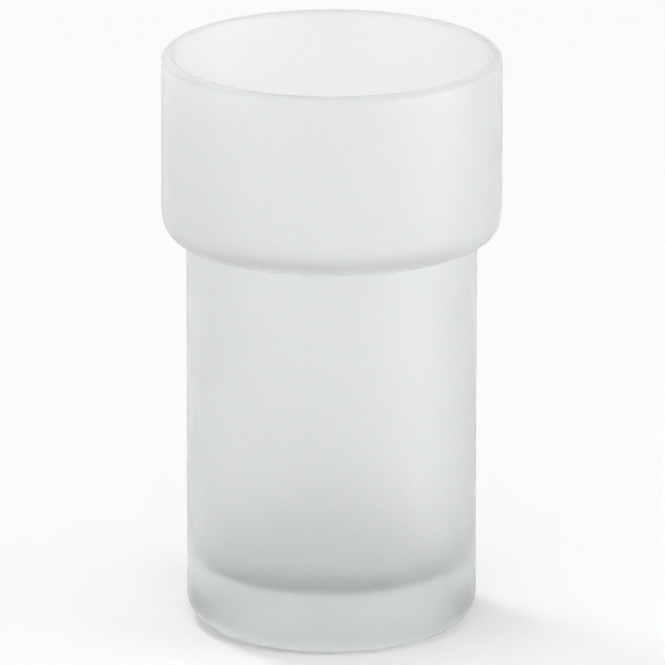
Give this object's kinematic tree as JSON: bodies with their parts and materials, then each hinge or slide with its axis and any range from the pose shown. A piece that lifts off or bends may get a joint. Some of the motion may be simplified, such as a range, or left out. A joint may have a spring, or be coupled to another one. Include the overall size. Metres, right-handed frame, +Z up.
{
  "type": "bathroom tumbler",
  "caption": "Frosted glass tumbler for a ring holder: a wide collar rests on the ring, and a narrower stem with a thick foot passes down through it.",
  "frame": {"origin": "centre of the foot, on the plane that the tumbler stands on", "axes": "+Z up along the tumbler's axis of rotation, from the foot to the rim; X and Y are alike, because the tumbler is round"},
  "size_m": [0.066, 0.066, 0.1138],
  "materials": {
    "frosted_glass": "acid-etched satin, inside and out"
  },
  "bodies": {
    "root": {"glass_tumbler": "frosted_glass"}
  },
  "joints": []
}
